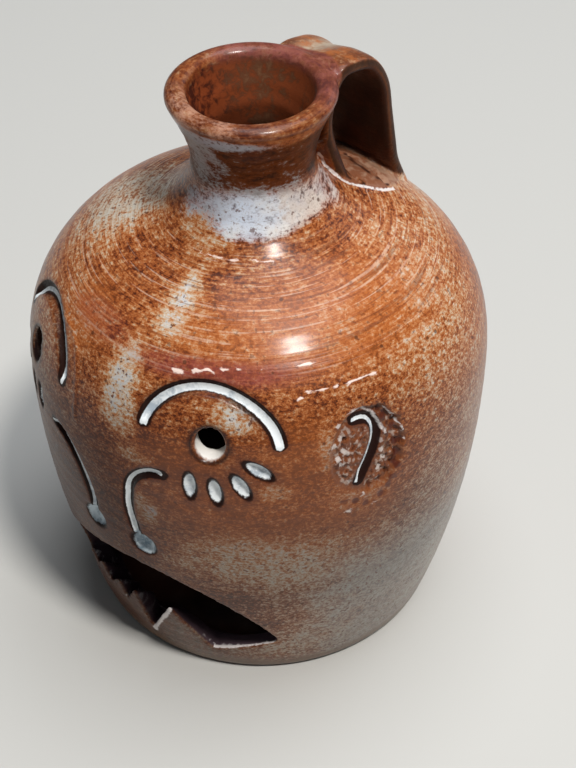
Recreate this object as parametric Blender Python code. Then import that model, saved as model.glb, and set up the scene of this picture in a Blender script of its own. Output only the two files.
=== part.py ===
import bpy
import bmesh
import math
from mathutils import Vector

# Face jug: one hollow thrown jug, a face cut and carved in its front, a strap handle at the back.
# Metres, +Z up, origin at the centre of the underside, the face looks along -Y.

# Body and neck, outside
FOOT_RADIUS = 0.0500
BELLY_RADIUS = 0.0625
BELLY_HEIGHT = 0.0810
CROWN_HEIGHT = 0.1280
SHOULDER_POWER = 2.4
NECK_ROOT_RADIUS = 0.0310
NECK_HEIGHT = 0.0345
NECK_WAIST_RADIUS = 0.0159
NECK_WAIST_RISE = 0.0147
RIM_RADIUS = 0.0216
RIM_WIDTH = 0.0056
RIM_ROUND = 0.0020
JUG_HEIGHT = CROWN_HEIGHT + NECK_HEIGHT
NECK_WAIST_HEIGHT = CROWN_HEIGHT + NECK_WAIST_RISE

# Inside
FOOT_WALL = 0.0063
UPPER_WALL = 0.0050
FLOOR_THICKNESS = 0.0060
FLOOR_ROUND = 0.0070
THROAT_WALL = 0.0047

# Strap handle
HANDLE_TURN = 175.0
HANDLE_REACH = 0.0386
HANDLE_CREST = 0.0270
HANDLE_CREST_DROP = 0.0034
HANDLE_FOOT = 0.0455
LEG_ROOT_OUT = 0.0084
LEG_WAIST_OUT = 0.0019
LEG_SINK = 0.0030
LEG_TUCK = 0.0038
LEG_TOP_DROP = 0.0090
RIM_JOIN_TUCK = 0.0008
RIM_JOIN_DROP = 0.0032
FOOT_SINK = 0.0030
STRAP_WIDTH = 0.0240
STRAP_FOOT_WIDTH = 0.0212
LEG_WIDTH = 0.0206
STRAP_THICKNESS = 0.0042
STRAP_TILT = 0.0014
PAD_WIDTH = 0.0250
PAD_HEIGHT = 0.0018
PAD_EDGE_SINK = 0.0008
PAD_START = 0.0040

# Eyes, brows and the drops under the eyes
FACE_SHIFT = -1.3
EYE_TURN = 30.8
EYE_HEIGHT = 0.0964
EYE_HOLE = 0.0084
EYE_BEVEL = 0.0010
BROW_HALF_SPAN = 16.2
BROW_BASE = 0.0014
BROW_RISE = 0.0112
BROW_DROOP = 0.0012
BROW_WIDTH = 0.0034
DROP_COUNT = 4
DROP_LENGTH = 0.0092
DROP_WIDTH = 0.0037
DROP_DEPTH = 0.0018
DROP_REACH = 0.0142
DROP_FIRST = -21.0
DROP_SPREAD = 27.5
DROP_LEAN = 18.0

# Nose
NOSE_TURN = 2.5
NOSTRIL_TURN = 7.8
NOSTRIL_GAP = 0.0112
NOSTRIL_WIDTH = 0.0068
NOSTRIL_LENGTH = 0.0080
NOSTRIL_DEPTH = 0.0021
NOSTRIL_LEAN = 48.0
# the left side of the nose, then the right side
WING_TURNS = (-4.8, 9.4)
WING_HEIGHTS = (0.0261, 0.0300)
WING_STRAIGHTS = (0.0, 0.62)
WING_BOWS = (0.0, 1.8)
WING_HOOKS = (13.4, 10.0)
WING_WIDTH = 0.0030

# Ears
EAR_TURN = 67.3
EAR_HEIGHT = 0.0900
EAR_RADIUS = 0.0118
EAR_DEPTH = 0.0013
EAR_GROOVE_WIDTH = 0.0034
EAR_SWING = 5.5
EAR_HOOK_TOP = 0.90
EAR_HOOK_LENGTH = 1.66

# Mouth, cut right through the wall
# pairs give the left side, then the right side; the left end is blunt, the right end pointed
MOUTH_CORNER_TURNS = (-37.0, 44.4)
MOUTH_CORNER_HEIGHTS = (0.0120, 0.0164)
MOUTH_CORNER_OPENING = 0.0012
MOUTH_MIDDLE = 4.0
MOUTH_TOP = 0.0445
MOUTH_ARCHES = (1.2, 2.2)
MOUTH_ENDS = (0.30, 0.90)
LIP_HEIGHT = 0.0085
LIP_SIDE_LIFT = 0.0010
JAW_LIFT = 0.0082
TOOTH_TURNS = (-17.0, -11.5, -5.0, 1.5, 13.5)
TOOTH_HEIGHTS = (0.0154, 0.0161, 0.0168, 0.0194, 0.0194)
TOOTH_SPACING = 12.0
TOOTH_STEEP = 0.14
TOOTH_TAPER = 0.35
SIDE_CUTS = (0.25, 0.36)
STATION_GAP = 1.5

SEGMENTS = 60
CUT_MARGIN = 0.0100


def shoulder_height(radius, top=CROWN_HEIGHT, belly=BELLY_RADIUS):
    share = max(0.0, 1.0 - (radius / belly) ** SHOULDER_POWER)
    return BELLY_HEIGHT + (top - BELLY_HEIGHT) * share ** (1.0 / SHOULDER_POWER)


def outer_radius(height):
    if height <= BELLY_HEIGHT:
        down = 1.0 - height / BELLY_HEIGHT
        return FOOT_RADIUS + (BELLY_RADIUS - FOOT_RADIUS) * (1.0 - down * down)
    up = min(1.0, (height - BELLY_HEIGHT) / (CROWN_HEIGHT - BELLY_HEIGHT))
    return BELLY_RADIUS * (1.0 - up ** SHOULDER_POWER) ** (1.0 / SHOULDER_POWER)


def bezier(start, first, second, end, steps):
    points = []
    for step in range(1, steps + 1):
        t = step / steps
        s = 1.0 - t
        points.append(tuple(
            s * s * s * a + 3 * s * s * t * b + 3 * s * t * t * c + t * t * t * d
            for a, b, c, d in zip(start, first, second, end)))
    return points


def outer_profile():
    # from the edge of the underside up to the outer edge of the rim
    points = []
    lower_steps = 7
    for step in range(lower_steps + 1):
        height = BELLY_HEIGHT * step / lower_steps
        points.append((outer_radius(height), height))
    upper_steps = 9
    for step in range(1, upper_steps + 1):
        angle = math.pi / 2 * step / (upper_steps + 1)
        radius = max(NECK_ROOT_RADIUS, BELLY_RADIUS * math.cos(angle) ** (2.0 / SHOULDER_POWER))
        points.append((radius, shoulder_height(radius)))
        if radius == NECK_ROOT_RADIUS:
            break
    root = points[-1]
    waist = (NECK_WAIST_RADIUS, NECK_WAIST_HEIGHT)
    rim = (RIM_RADIUS, JUG_HEIGHT - RIM_ROUND)
    drop = NECK_WAIST_HEIGHT - root[1]
    spread = root[0] - NECK_WAIST_RADIUS
    points += bezier(root, (root[0] - 0.6 * spread, root[1] + 0.18 * drop),
                     (NECK_WAIST_RADIUS, NECK_WAIST_HEIGHT - 0.42 * drop), waist, 5)
    flare = RIM_RADIUS - NECK_WAIST_RADIUS
    rise = rim[1] - NECK_WAIST_HEIGHT
    points += bezier(waist, (NECK_WAIST_RADIUS, NECK_WAIST_HEIGHT + 0.36 * rise),
                     (NECK_WAIST_RADIUS + 0.65 * flare, NECK_WAIST_HEIGHT + 0.74 * rise), rim, 5)
    return points


def inner_profile():
    # from the inner edge of the rim down to the edge of the flat floor
    throat = NECK_WAIST_RADIUS - THROAT_WALL
    edge = (RIM_RADIUS - RIM_WIDTH, JUG_HEIGHT - RIM_ROUND)
    waist = (throat, NECK_WAIST_HEIGHT)
    drop = edge[1] - waist[1]
    spread = edge[0] - throat
    points = bezier(edge, (edge[0] - 0.25 * spread, edge[1] - 0.3 * drop),
                    (throat, waist[1] + 0.4 * drop), waist, 3)
    inner_belly = BELLY_RADIUS - UPPER_WALL
    inner_crown = CROWN_HEIGHT - UPPER_WALL
    root_radius = NECK_ROOT_RADIUS - UPPER_WALL
    root = (root_radius, shoulder_height(root_radius, inner_crown, inner_belly))
    fall = waist[1] - root[1]
    points += bezier(waist, (throat, waist[1] - 0.5 * fall),
                     (root[0] - 0.6 * (root[0] - throat), root[1] + 0.12 * fall), root, 3)
    steps = 6
    for step in range(steps, -1, -1):
        angle = math.pi / 2 * step / (steps + 1)
        radius = inner_belly * math.cos(angle) ** (2.0 / SHOULDER_POWER)
        if radius > root[0] * 1.04:
            points.append((radius, shoulder_height(radius, inner_crown, inner_belly)))
    low = FLOOR_THICKNESS + FLOOR_ROUND
    steps = 3
    for step in range(1, steps + 1):
        height = BELLY_HEIGHT + (low - BELLY_HEIGHT) * step / steps
        wall = FOOT_WALL + (UPPER_WALL - FOOT_WALL) * height / BELLY_HEIGHT
        points.append((outer_radius(height) - wall, height))
    corner = points[-1]
    for step in range(1, 4):
        angle = math.pi / 2 * step / 3
        points.append((corner[0] - FLOOR_ROUND * (1.0 - math.cos(angle)),
                       low - FLOOR_ROUND * math.sin(angle)))
    return points


def rim_profile():
    # rounded lip, from its outer edge over the top to its inner edge
    middle = RIM_RADIUS - RIM_WIDTH / 2
    points = []
    for step in range(1, 5):
        angle = math.pi * step / 5
        points.append((middle + RIM_WIDTH / 2 * math.cos(angle),
                       JUG_HEIGHT - RIM_ROUND + RIM_ROUND * math.sin(angle)))
    points.append((middle - RIM_WIDTH / 2, JUG_HEIGHT - RIM_ROUND))
    return points


def place(turn, height, radius):
    angle = math.radians(turn)
    return Vector((radius * math.sin(angle), -radius * math.cos(angle), height))


def on_skin(turn, height, out=0.0):
    return place(turn, height, outer_radius(height) + out)


def finish_mesh(name, bm):
    bmesh.ops.recalc_face_normals(bm, faces=bm.faces)
    mesh = bpy.data.meshes.new(name)
    bm.to_mesh(mesh)
    bm.free()
    thing = bpy.data.objects.new(name, mesh)
    bpy.context.scene.collection.objects.link(thing)
    return thing


def lathe(name, profile):
    bm = bmesh.new()
    rings = []
    for radius, height in profile:
        rings.append([bm.verts.new(place(360.0 * k / SEGMENTS, height, radius)) for k in range(SEGMENTS)])
    for lower, upper in zip(rings, rings[1:]):
        for k in range(SEGMENTS):
            n = (k + 1) % SEGMENTS
            bm.faces.new((lower[k], lower[n], upper[n], upper[k]))
    for ring, height in ((rings[0], profile[0][1]), (rings[-1], profile[-1][1])):
        centre = bm.verts.new((0.0, 0.0, height))
        for k in range(SEGMENTS):
            bm.faces.new((ring[k], ring[(k + 1) % SEGMENTS], centre))
    return finish_mesh(name, bm)


def skin_loft(bm, sections):
    # closed body through rings of equal length, with a fan at each end
    rings = [[bm.verts.new(point) for point in section] for section in sections]
    count = len(rings[0])
    for first, second in zip(rings, rings[1:]):
        for k in range(count):
            n = (k + 1) % count
            bm.faces.new((first[k], first[n], second[n], second[k]))
    for ring in (rings[0], rings[-1]):
        middle = Vector((0.0, 0.0, 0.0))
        for vert in ring:
            middle += vert.co
        centre = bm.verts.new(middle / count)
        for k in range(count):
            bm.faces.new((ring[k], ring[(k + 1) % count], centre))


def groove(bm, track, width, out=0.0, sides=8):
    # round tube laid along a track of (turn, height) on the skin, narrowed at both ends
    points = [on_skin(turn, height, out) for turn, height in track]
    last = len(points) - 1
    sections = []
    for k, point in enumerate(points):
        ahead = points[min(last, k + 1)]
        behind = points[max(0, k - 1)]
        along = (ahead - behind).normalized()
        away = Vector((point.x, point.y, 0.0)).normalized()
        side = along.cross(away).normalized()
        away = side.cross(along).normalized()
        size = width / 2 * (0.55 if k in (0, last) else 1.0)
        sections.append([point + size * (side * math.cos(2 * math.pi * s / sides)
                                         + away * math.sin(2 * math.pi * s / sides))
                         for s in range(sides)])
    skin_loft(bm, sections)


def gouge(bm, turn, height, length, width, depth, lean):
    # stretched ball pressed in the skin, its long axis leaning by an angle from upright
    centre = on_skin(turn, height)
    away = Vector((centre.x, centre.y, 0.0)).normalized()
    up = Vector((0.0, 0.0, 1.0))
    across = up.cross(away).normalized()
    long_axis = up * math.cos(math.radians(lean)) + across * math.sin(math.radians(lean))
    wide_axis = long_axis.cross(away)
    sides = 8
    sections = []
    for step in range(1, 6):
        angle = math.pi * step / 6
        sections.append([centre - long_axis * (length / 2 * math.cos(angle))
                         + wide_axis * (width / 2 * math.sin(angle) * math.cos(2 * math.pi * s / sides))
                         + away * (depth * math.sin(angle) * math.sin(2 * math.pi * s / sides))
                         for s in range(sides)])
    skin_loft(bm, sections)


def peg(bm, turn, height, hole, bevel, wall):
    # round cutter through the wall, opened out where it leaves the skin
    centre = on_skin(turn, height)
    away = Vector((centre.x, centre.y, 0.0)).normalized()
    up = Vector((0.0, 0.0, 1.0))
    across = up.cross(away)
    sides = 16
    sections = []
    reach = wall + CUT_MARGIN
    for out, radius in ((-reach, hole / 2), (-bevel, hole / 2), (CUT_MARGIN / 4, hole / 2 + bevel),
                        (CUT_MARGIN, hole / 2 + bevel)):
        sections.append([centre + away * out + radius * (across * math.cos(2 * math.pi * s / sides)
                                                         + up * math.sin(2 * math.pi * s / sides))
                         for s in range(sides)])
    skin_loft(bm, sections)


def mouth_lines():
    # stations (turn, lower edge, upper edge) from the left corner to the right corner
    ends = sorted(zip(MOUTH_CORNER_TURNS, MOUTH_CORNER_HEIGHTS))
    left_end = ends[0][0]
    right_end = ends[1][0]
    teeth = sorted(tooth for tooth in zip(TOOTH_TURNS, TOOTH_HEIGHTS) if left_end < tooth[0] < right_end)
    middle = min(max(MOUTH_MIDDLE, left_end + STATION_GAP), right_end - STATION_GAP)

    def jaw(turn):
        # the lower lip climbs from the middle towards the left corner
        return LIP_HEIGHT + JAW_LIFT * max(0.0, turn / teeth[0][0])

    lower = dict(ends)
    for turn, tall in teeth:
        lower[turn] = jaw(turn) + tall
    for (left, tall), (right, _) in zip(teeth, teeth[1:]):
        cut = min(1.0, (right - left) / TOOTH_SPACING)
        lower[left + TOOTH_STEEP * (right - left)] = jaw(left) + tall * (1.0 - cut)
    for tooth, corner, share in ((teeth[0][0], left_end, SIDE_CUTS[0]), (teeth[-1][0], right_end, SIDE_CUTS[1])):
        lower[tooth + share * (corner - tooth)] = LIP_HEIGHT + LIP_SIDE_LIFT
    turns = sorted(lower)

    def low_edge(turn):
        for left, right in zip(turns, turns[1:]):
            if left <= turn <= right:
                return lower[left] + (lower[right] - lower[left]) * (turn - left) / (right - left)
        return lower[turns[-1]]

    def high_edge(turn):
        side = 0 if turn < middle else 1
        corner_turn, corner = ends[side]
        share = min(1.0, (turn - middle) / (corner_turn - middle))
        rise = (1.0 - share ** MOUTH_ARCHES[side]) ** MOUTH_ENDS[side]
        return corner + MOUTH_CORNER_OPENING + (MOUTH_TOP - corner) * rise

    stations = set(turns)
    steps = 20
    for step in range(steps + 1):
        turn = left_end + (right_end - left_end) * (0.5 - 0.5 * math.cos(math.pi * step / steps))
        if min(abs(turn - other) for other in turns) > STATION_GAP:
            stations.add(turn)
    lines = []
    for turn in sorted(stations):
        low = low_edge(turn)
        lines.append((turn, low, max(high_edge(turn), low + MOUTH_CORNER_OPENING)))
    return lines


def mouth(bm):
    # the teeth thin out towards their points, on the inside of the wall
    sections = []
    reach = FOOT_WALL + CUT_MARGIN
    for turn, low, high in mouth_lines():
        skin = outer_radius(low)
        near = min(skin, outer_radius(high)) - reach
        far = BELLY_RADIUS + CUT_MARGIN
        drop = 0.0
        if min(MOUTH_CORNER_TURNS) < turn < max(MOUTH_CORNER_TURNS):
            drop = TOOTH_TAPER * max(0.0, low - LIP_HEIGHT) * (skin - near) / FOOT_WALL
        low_near = max(low - drop, FLOOR_THICKNESS + MOUTH_CORNER_OPENING)
        sections.append([place(turn, low_near, near), place(turn, low, skin), place(turn, low, far),
                         place(turn, high, far), place(turn, high, near)])
    skin_loft(bm, sections)


def ear_disc(bm, turn):
    # shallow round stamp whose floor follows the skin
    spokes = 20
    rings = 3
    scale = math.degrees(1.0 / outer_radius(EAR_HEIGHT))
    layers = {}
    for out in (-EAR_DEPTH, CUT_MARGIN / 2):
        layers[out] = [[bm.verts.new(on_skin(turn, EAR_HEIGHT, out))]]
        for ring in range(1, rings + 1):
            size = EAR_RADIUS * ring / rings
            layers[out].append([bm.verts.new(on_skin(
                turn + scale * size * math.cos(2 * math.pi * s / spokes),
                EAR_HEIGHT + size * 1.06 * math.sin(2 * math.pi * s / spokes), out))
                for s in range(spokes)])
        for k in range(spokes):
            n = (k + 1) % spokes
            bm.faces.new((layers[out][0][0], layers[out][1][k], layers[out][1][n]))
            for inner, outer in zip(layers[out][1:], layers[out][2:]):
                bm.faces.new((inner[k], inner[n], outer[n], outer[k]))
    low = layers[-EAR_DEPTH][-1]
    high = layers[CUT_MARGIN / 2][-1]
    for k in range(spokes):
        n = (k + 1) % spokes
        bm.faces.new((low[k], low[n], high[n], high[k]))


def brow_track(side):
    # arch over one eye, its outer end a little lower
    centre = FACE_SHIFT + side * EYE_TURN
    base = EYE_HEIGHT + BROW_BASE
    track = []
    steps = 10
    for step in range(steps + 1):
        angle = math.pi * (0.02 + 0.96 * step / steps)
        outward = -side * math.cos(angle)
        track.append((centre - BROW_HALF_SPAN * math.cos(angle),
                      base + BROW_RISE * math.sin(angle) - BROW_DROOP * outward))
    return track


def wing_track(side):
    # up from the nostril beside the nose and hooked outward at its top
    which = 0 if side < 0 else 1
    start = WING_TURNS[which]
    base = MOUTH_TOP + NOSTRIL_GAP
    straight = WING_STRAIGHTS[which] * WING_HEIGHTS[which]
    track = []
    steps = 5 if straight > 0.0 else 1
    for step in range(steps):
        t = step / max(1, steps - 1)
        track.append((start - side * WING_BOWS[which] * math.sin(0.75 * math.pi * t), base + straight * t))
    top = track[-1]
    for step in range(1, 7):
        t = math.pi / 2 * step / 6
        track.append((top[0] + side * WING_HOOKS[which] * (1.0 - math.cos(t)),
                      top[1] + (WING_HEIGHTS[which] - straight) * math.sin(t)))
    return track


def ear_track(side):
    # hooked groove inside the ear
    track = []
    steps = 8
    for step in range(steps + 1):
        t = step / steps
        swing = EAR_SWING * (math.sin(math.pi * t ** 0.6) - 0.64)
        track.append((side * (EAR_TURN + swing),
                      EAR_HEIGHT + EAR_RADIUS * (EAR_HOOK_TOP - EAR_HOOK_LENGTH * t ** 1.2)))
    return track


def handle_path():
    # (radius, height, width) from the root of the neck, up it, over and down to the shoulder
    rim = JUG_HEIGHT
    foot = shoulder_height(HANDLE_FOOT)
    loop = rim - foot
    splay = HANDLE_FOOT - HANDLE_REACH
    taper = STRAP_FOOT_WIDTH - STRAP_WIDTH
    return [
        (NECK_WAIST_RADIUS + LEG_ROOT_OUT, CROWN_HEIGHT - LEG_SINK, LEG_WIDTH),
        (NECK_WAIST_RADIUS + LEG_WAIST_OUT, NECK_WAIST_HEIGHT, LEG_WIDTH),
        (RIM_RADIUS - LEG_TUCK, rim - LEG_TOP_DROP, 0.4 * LEG_WIDTH + 0.6 * STRAP_WIDTH),
        (RIM_RADIUS - RIM_JOIN_TUCK, rim - RIM_JOIN_DROP, STRAP_WIDTH),
        (HANDLE_CREST, rim - HANDLE_CREST_DROP, STRAP_WIDTH),
        (0.83 * HANDLE_REACH, rim - 0.125 * loop, STRAP_WIDTH),
        (0.945 * HANDLE_REACH, rim - 0.28 * loop, STRAP_WIDTH + 0.1 * taper),
        (HANDLE_REACH, rim - 0.49 * loop, STRAP_WIDTH + 0.4 * taper),
        (HANDLE_REACH + 0.32 * splay, rim - 0.71 * loop, STRAP_WIDTH + 0.7 * taper),
        (HANDLE_REACH + 0.57 * splay, rim - 0.87 * loop, STRAP_WIDTH + 0.9 * taper),
        (HANDLE_FOOT + 0.4 * FOOT_SINK, foot - FOOT_SINK, STRAP_FOOT_WIDTH),
    ]


def smooth_path(keys, steps):
    points = []
    last = len(keys) - 1
    for k in range(last):
        a = keys[max(0, k - 1)]
        b = keys[k]
        c = keys[k + 1]
        d = keys[min(last, k + 2)]
        for step in range(steps):
            t = step / steps
            points.append(tuple(
                0.5 * (2 * q + (r - p) * t + (2 * p - 5 * q + 4 * r - s) * t * t
                       + (3 * q - p - 3 * r + s) * t * t * t)
                for p, q, r, s in zip(a, b, c, d)))
    points.append(keys[last])
    return points


def strap(bm):
    path = smooth_path(handle_path(), 3)
    last = len(path) - 1
    angle = math.radians(HANDLE_TURN)
    outward = Vector((math.sin(angle), -math.cos(angle), 0.0))
    across = Vector((-math.cos(angle), -math.sin(angle), 0.0))
    up = Vector((0.0, 0.0, 1.0))
    base = shoulder_height(HANDLE_FOOT)
    sections = []
    # across the strap: share of its half width, share of its half thickness; two ridges on the outside
    outline = [(-1.0, 0.35), (-0.92, 0.95), (-0.62, 1.15), (-0.22, 0.7), (0.35, 1.1), (0.85, 0.95),
               (1.0, 0.35), (0.97, -0.5), (0.75, -0.95), (0.0, -0.95), (-0.75, -0.95), (-0.97, -0.5)]
    for k, (radius, height, width) in enumerate(path):
        ahead = path[min(last, k + 1)]
        behind = path[max(0, k - 1)]
        along = Vector((ahead[0] - behind[0], ahead[1] - behind[1])).normalized()
        lift = (height - base) / (JUG_HEIGHT - base)
        section = []
        for u, thick in outline:
            off = STRAP_THICKNESS / 2 * thick
            tilt = STRAP_TILT * max(0.0, lift) * u
            point = outward * (radius - along.y * off) + across * (u * width / 2)
            section.append(point + up * (height + along.x * off + tilt))
        sections.append(section)
    skin_loft(bm, sections)


def pad(bm):
    # clay smeared on the shoulder between the neck and the foot of the strap
    angle = math.radians(HANDLE_TURN)
    outward = Vector((math.sin(angle), -math.cos(angle), 0.0))
    across = Vector((-math.cos(angle), -math.sin(angle), 0.0))
    inner_end = NECK_WAIST_RADIUS + PAD_START
    outer_end = HANDLE_FOOT + STRAP_THICKNESS
    middle = 0.5 * (inner_end + outer_end)
    half_long = 0.5 * (outer_end - inner_end)
    half_wide = PAD_WIDTH / 2
    spokes = 20
    layers = []
    for top in (True, False):
        layer = []
        for share in (0.0, 0.45, 0.8, 1.0):
            ring = []
            for s in range(spokes if share else 1):
                turn = 2 * math.pi * s / spokes
                flat = outward * (middle + half_long * share * math.cos(turn))
                flat = flat + across * (half_wide * share * math.sin(turn))
                skin = shoulder_height(flat.length)
                rise = PAD_HEIGHT * (1.0 - share ** 4) - PAD_EDGE_SINK * share ** 4
                height = skin + (rise if top else -0.5 * UPPER_WALL)
                ring.append(bm.verts.new((flat.x, flat.y, height)))
            layer.append(ring)
        layers.append(layer)
        for k in range(spokes):
            n = (k + 1) % spokes
            bm.faces.new((layer[0][0], layer[1][k], layer[1][n]))
            for inner, outer in zip(layer[1:], layer[2:]):
                bm.faces.new((inner[k], inner[n], outer[n], outer[k]))
    for k in range(spokes):
        n = (k + 1) % spokes
        bm.faces.new((layers[0][-1][k], layers[0][-1][n], layers[1][-1][n], layers[1][-1][k]))


def combine(target, tool, operation):
    modifier = target.modifiers.new(tool.name, 'BOOLEAN')
    modifier.operation = operation
    modifier.solver = 'EXACT'
    modifier.object = tool
    bpy.context.view_layer.objects.active = target
    bpy.ops.object.modifier_apply(modifier=modifier.name)
    bpy.data.objects.remove(tool)


def glaze():
    material = bpy.data.materials.new('glazed_ceramic')
    material.use_nodes = True
    shader = material.node_tree.nodes['Principled BSDF']
    shader.inputs['Base Color'].default_value = (0.36, 0.15, 0.06, 1.0)
    shader.inputs['Roughness'].default_value = 0.25
    shader.inputs['Metallic'].default_value = 0.0
    return material


for thing in list(bpy.data.objects):
    bpy.data.objects.remove(thing)

jug = lathe('face_jug', outer_profile() + rim_profile() + inner_profile())

bm = bmesh.new()
pad(bm)
combine(jug, finish_mesh('shoulder_pad', bm), 'UNION')
bm = bmesh.new()
strap(bm)
combine(jug, finish_mesh('strap_handle', bm), 'UNION')

bm = bmesh.new()
mouth(bm)
for side in (-1, 1):
    peg(bm, FACE_SHIFT + side * EYE_TURN, EYE_HEIGHT, EYE_HOLE, EYE_BEVEL, UPPER_WALL)
    groove(bm, brow_track(side), BROW_WIDTH)
    groove(bm, wing_track(side), WING_WIDTH)
    ear_disc(bm, side * EAR_TURN)
    for k in range(DROP_COUNT):
        angle = math.radians(DROP_FIRST + DROP_SPREAD * k)
        turn = EYE_TURN + math.degrees(DROP_REACH * math.sin(angle) / BELLY_RADIUS)
        height = EYE_HEIGHT - DROP_REACH * math.cos(angle)
        gouge(bm, FACE_SHIFT + side * turn, height, DROP_LENGTH, DROP_WIDTH, DROP_DEPTH,
              -side * DROP_LEAN * k)
combine(jug, finish_mesh('first_cuts', bm), 'DIFFERENCE')

bm = bmesh.new()
for side in (-1, 1):
    gouge(bm, NOSE_TURN + side * NOSTRIL_TURN, MOUTH_TOP + NOSTRIL_GAP, NOSTRIL_LENGTH, NOSTRIL_WIDTH,
          NOSTRIL_DEPTH, -side * NOSTRIL_LEAN)
    groove(bm, ear_track(side), EAR_GROOVE_WIDTH, -EAR_DEPTH)
combine(jug, finish_mesh('second_cuts', bm), 'DIFFERENCE')

bm = bmesh.new()
bm.from_mesh(jug.data)
bmesh.ops.remove_doubles(bm, verts=bm.verts, dist=0.00002)
bmesh.ops.triangulate(bm, faces=[face for face in bm.faces if len(face.verts) > 4])
for face in bm.faces:
    face.smooth = True
for edge in bm.edges:
    if len(edge.link_faces) == 2 and edge.calc_face_angle() > math.radians(38.0):
        edge.smooth = False
bm.to_mesh(jug.data)
bm.free()
jug.data.materials.clear()
jug.data.materials.append(glaze())
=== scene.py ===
from math import acos, atan2, copysign, cos, degrees, exp, hypot, pi, radians, sin
import bpy
import numpy as np
from mathutils import Matrix, Vector, noise


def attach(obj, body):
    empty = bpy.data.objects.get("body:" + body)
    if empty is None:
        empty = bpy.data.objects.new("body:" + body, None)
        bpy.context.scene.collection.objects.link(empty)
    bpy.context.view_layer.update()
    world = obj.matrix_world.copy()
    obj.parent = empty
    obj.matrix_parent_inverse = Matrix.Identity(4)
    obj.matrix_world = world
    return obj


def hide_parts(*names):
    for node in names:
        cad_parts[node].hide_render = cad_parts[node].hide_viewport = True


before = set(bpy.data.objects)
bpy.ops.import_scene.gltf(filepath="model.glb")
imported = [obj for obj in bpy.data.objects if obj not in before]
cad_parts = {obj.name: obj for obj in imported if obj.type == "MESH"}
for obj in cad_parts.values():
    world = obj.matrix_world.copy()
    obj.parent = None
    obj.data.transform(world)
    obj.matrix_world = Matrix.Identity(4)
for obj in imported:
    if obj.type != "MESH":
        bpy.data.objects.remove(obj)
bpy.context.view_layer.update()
bpy.ops.object.select_all(action="DESELECT")

# The thrown jug: stoneware clay pulled up on the wheel in one wall, hollow from the floor to the
# collar, with a trimmed flat foot and a rolled rim. The fingers left fine rings outside and coarse
# ones inside.
foot_radius = 0.05
belly_radius = 0.0625
belly_height = 0.081
crown_height = 0.128
shoulder_power = 2.4
neck_root_radius = 0.031
waist_radius = 0.0159
waist_height = 0.1427
rim_radius = 0.0216
rim_height = 0.1625
rim_width = 0.0056
rim_round = 0.0022
rim_turns = 12
wheel_turns = 180
foot_edge = 0.0014
foot_wall = 0.0063
upper_wall = 0.005
throat_wall = 0.0047
floor_thickness = 0.006
floor_round = 0.007
outer_rings = (0.0046, 0.00005)
inner_rings = (0.006, 0.00016)


def wall_radius(height):
    if height <= belly_height:
        down = 1 - height / belly_height
        return foot_radius + (belly_radius - foot_radius) * (1 - down * down)
    up = min(1.0, (height - belly_height) / (crown_height - belly_height))
    return belly_radius * (1 - up ** shoulder_power) ** (1 / shoulder_power)


def shoulder_height(radius, top=crown_height, belly=belly_radius):
    share = max(0.0, 1 - (radius / belly) ** shoulder_power)
    return belly_height + (top - belly_height) * share ** (1 / shoulder_power)


def bend(start, first, second, end, steps):
    points = []
    for step in range(1, steps + 1):
        t = step / steps
        s = 1 - t
        points.append(tuple(s ** 3 * a + 3 * s * s * t * b + 3 * s * t * t * c + t ** 3 * d
                            for a, b, c, d in zip(start, first, second, end)))
    return points


outside = [(0.0, 0.0), (foot_radius - foot_edge, 0.0), (foot_radius - 0.0004, 0.0004)]
outside += [(wall_radius(z), z) for z in np.linspace(foot_edge, belly_height, 56)]
root = (neck_root_radius, shoulder_height(neck_root_radius))
root_angle = acos((neck_root_radius / belly_radius) ** (shoulder_power / 2))
for angle in np.linspace(0, root_angle, 46)[1:]:
    radius = belly_radius * cos(angle) ** (2 / shoulder_power)
    outside.append((radius, shoulder_height(radius)))
drop = waist_height - root[1]
narrowing = root[0] - waist_radius
waist = (waist_radius, waist_height)
lip = (rim_radius, rim_height - rim_round)
rise = lip[1] - waist_height
flare = rim_radius - waist_radius
outside += bend(root, (root[0] - 0.6 * narrowing, root[1] + 0.18 * drop),
                (waist_radius, waist_height - 0.42 * drop), waist, 22)
outside += bend(waist, (waist_radius, waist_height + 0.36 * rise),
                (waist_radius + 0.65 * flare, waist_height + 0.74 * rise), lip, 16)
rolled = []
for step in range(1, rim_turns):
    angle = pi * step / rim_turns
    rolled.append((rim_radius - rim_width / 2 * (1 - cos(angle)),
                   rim_height - rim_round + rim_round * sin(angle)))
throat = (waist_radius - throat_wall, waist_height)
edge = (rim_radius - rim_width, rim_height - rim_round)
inner_skin = (crown_height - upper_wall, belly_radius - upper_wall)
inner_root = neck_root_radius - upper_wall
inner_root = (inner_root, shoulder_height(inner_root, *inner_skin))
fall = waist_height - inner_root[1]
above = edge[1] - throat[1]
inside = [edge]
inside += bend(edge, (edge[0] - 0.25 * (edge[0] - throat[0]), edge[1] - 0.3 * above),
               (throat[0], throat[1] + 0.4 * above), throat, 12)
inside += bend(throat, (throat[0], throat[1] - 0.5 * fall),
               (inner_root[0] - 0.6 * (inner_root[0] - throat[0]), inner_root[1] + 0.12 * fall),
               inner_root, 16)
inner_angle = acos((inner_root[0] / (belly_radius - upper_wall)) ** (shoulder_power / 2))
for angle in np.linspace(inner_angle, 0, 34)[1:]:
    radius = (belly_radius - upper_wall) * cos(angle) ** (2 / shoulder_power)
    inside.append((radius, shoulder_height(radius, *inner_skin)))
low = floor_thickness + floor_round
for height in np.linspace(belly_height, low, 44)[1:]:
    thinner = (foot_wall - upper_wall) * height / belly_height
    inside.append((wall_radius(height) - foot_wall + thinner, height))
corner = inside[-1][0] - floor_round
for step in range(1, 9):
    angle = pi / 2 * step / 8
    inside.append((corner + floor_round * cos(angle), low - floor_round * sin(angle)))
inside.append((0.0, floor_thickness))


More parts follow.
